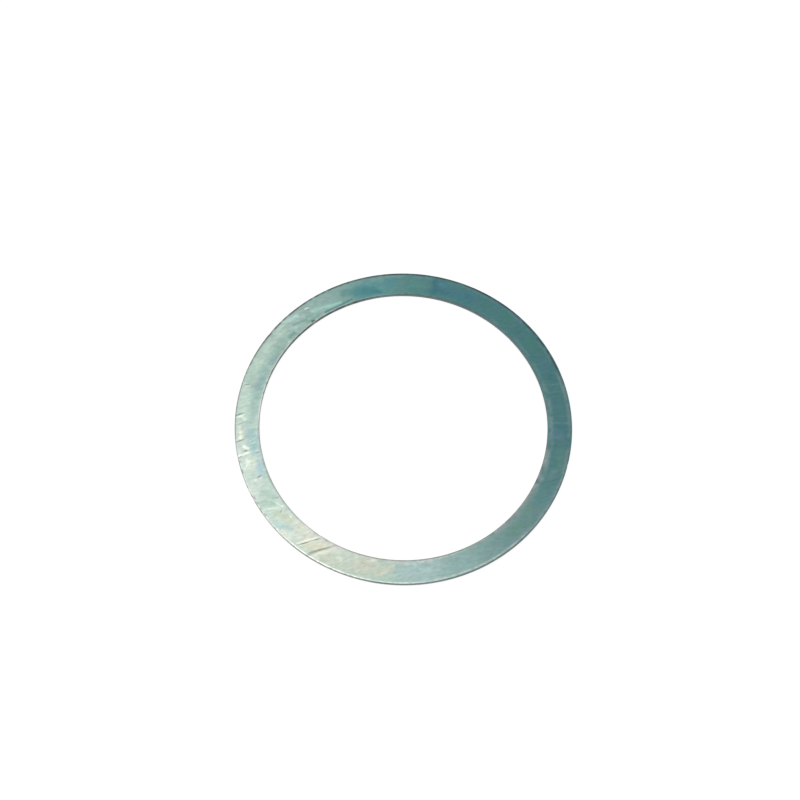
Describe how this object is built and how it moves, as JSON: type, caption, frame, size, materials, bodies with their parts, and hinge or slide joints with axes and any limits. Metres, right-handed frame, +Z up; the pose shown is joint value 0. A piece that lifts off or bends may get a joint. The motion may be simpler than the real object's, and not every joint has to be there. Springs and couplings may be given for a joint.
{
  "type": "shim ring",
  "caption": "Thin flat steel shim ring with a wide plain bore and a narrow band, punched from strip, with rounded upper edges and straight cut walls.",
  "frame": {"origin": "centre of the ring on its lower face", "axes": "+Z up along the ring's axis, out of the face with the rounded edges; X and Y lie in the lower face, and the ring is the same all round"},
  "size_m": [0.055, 0.055, 0.0008],
  "materials": {
    "bare_steel": "cold-rolled satin steel with a thin blue-green and straw bloom, fine rolling lines and small handling marks"
  },
  "bodies": {
    "root": {"shim_ring": "bare_steel"}
  },
  "joints": []
}
